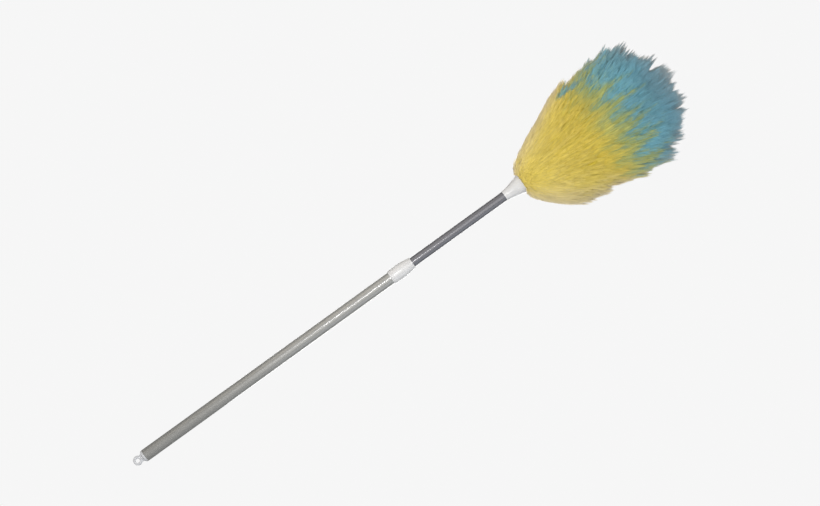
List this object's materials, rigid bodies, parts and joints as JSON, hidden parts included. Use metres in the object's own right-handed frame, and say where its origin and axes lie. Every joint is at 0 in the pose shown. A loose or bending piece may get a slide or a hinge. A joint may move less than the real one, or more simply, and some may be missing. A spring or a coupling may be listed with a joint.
{
  "type": "telescopic lambswool duster",
  "caption": "Lambswool dusting head on a twist-lock telescopic tube handle with a hanging eye, for high shelves, blinds and fittings.",
  "frame": {"origin": "on the pole's axis, at the lower end of the outer tube, where the hanging cap's flange meets it", "axes": "+Z along the pole towards the head; the hanging eye lies in the XZ plane, so its hole runs along Y; +X is the side the fleece hangs to"},
  "size_m": [0.1977, 0.1976, 1.0045],
  "materials": {
    "outer_tube_metal": "satin",
    "inner_tube_metal": "satin",
    "cap_plastic": "gloss",
    "white_plastic": "satin",
    "bush_plastic": "matte",
    "black_plastic": "matte",
    "zinc_steel": "satin",
    "spring_steel": "satin",
    "expander_plastic": "matte",
    "cone_plastic": "matte",
    "beech": "matte",
    "hide_yellow": "matte",
    "hide_blue": "matte",
    "fleece_yellow": "matte",
    "fleece_blue": "matte"
  },
  "bodies": {
    "outer_handle": {"outer_tube": "outer_tube_metal", "end_cap": "cap_plastic", "collar": "white_plastic", "guide_bush": "bush_plastic"},
    "expander_sleeve": {"expander": "expander_plastic"},
    "cone": {"cone_nut": "cone_plastic"},
    "inner_handle": {"inner_tube": "inner_tube_metal", "lock_plug": "black_plastic", "lock_stud": "zinc_steel", "stud_clip": "spring_steel", "thrust_washer": "zinc_steel", "ferrule": "white_plastic", "core_dowel": "beech", "hide_yellow": "hide_yellow", "hide_blue": "hide_blue", "tip_tack": "zinc_steel", "fleece_yellow": "fleece_yellow", "fleece_blue": "fleece_blue"}
  },
  "joints": [
    {"name": "telescope", "type": "slide", "parent": "outer_handle", "child": "expander_sleeve", "axis": [0, 0, 1], "range_m": [-0.17, 0.1985]},
    {"name": "lock_twist", "type": "hinge", "parent": "expander_sleeve", "child": "inner_handle", "pos_m": [0, 0, 0.237], "axis": [0, 0, 1], "range_deg": [0, 360]},
    {"name": "cone_draw", "type": "slide", "parent": "expander_sleeve", "child": "cone", "axis": [0, 0, 1], "range_m": [-0.00151, 0.00001]}
  ],
  "couplings": [
    {"joint": "cone_draw", "follows": "lock_twist", "m_per_rad": -0.00023873}
  ]
}
